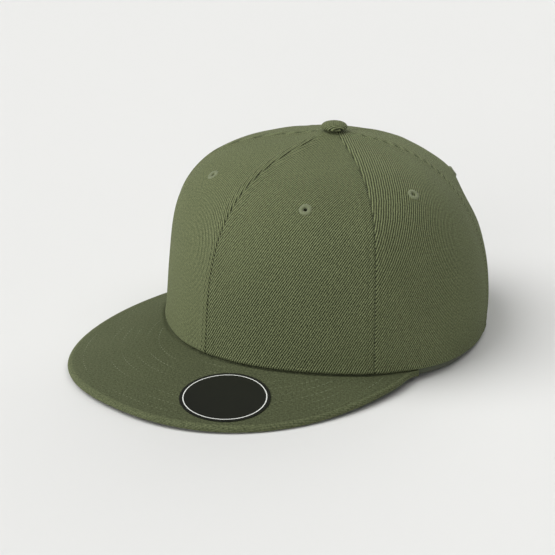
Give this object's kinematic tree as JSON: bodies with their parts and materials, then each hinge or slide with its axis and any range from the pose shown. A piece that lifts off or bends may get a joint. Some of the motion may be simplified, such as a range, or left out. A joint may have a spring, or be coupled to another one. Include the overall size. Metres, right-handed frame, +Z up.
{
  "type": "six-panel cap",
  "caption": "Six-panel cap with a high stiff front, a flat rounded brim, sewn eyelets, a covered button and a closed snap strap across a rear arch.",
  "frame": {"origin": "on the surface that the cap rests on, under the middle of the cap's box", "axes": "+Z up, the brim points along -Y, +X is the wearer's left"},
  "size_m": [0.1828, 0.2602, 0.1183],
  "materials": {
    "crown_twill": "olive green cotton twill over a stiff backing",
    "eyelet_thread": "olive green embroidery thread",
    "button_cloth": "olive green twill pulled over a metal button",
    "sweatband_cloth": "olive green plain cotton",
    "strap_plastic": "olive green moulded plastic, satin",
    "peak_twill": "olive green twill over a flat board, stitched in rows",
    "sticker_film": "black film with one thin white ring"
  },
  "bodies": {
    "root": {"panel_front_left": "crown_twill", "panel_side_left": "crown_twill", "panel_back_left": "crown_twill", "panel_front_right": "crown_twill", "panel_side_right": "crown_twill", "panel_back_right": "crown_twill", "eyelet_front_left": "eyelet_thread", "eyelet_side_left": "eyelet_thread", "eyelet_back_left": "eyelet_thread", "eyelet_front_right": "eyelet_thread", "eyelet_side_right": "eyelet_thread", "eyelet_back_right": "eyelet_thread", "top_button": "button_cloth", "sweatband": "sweatband_cloth", "rear_strap": "strap_plastic", "peak": "peak_twill", "peak_sticker": "sticker_film"}
  },
  "joints": []
}
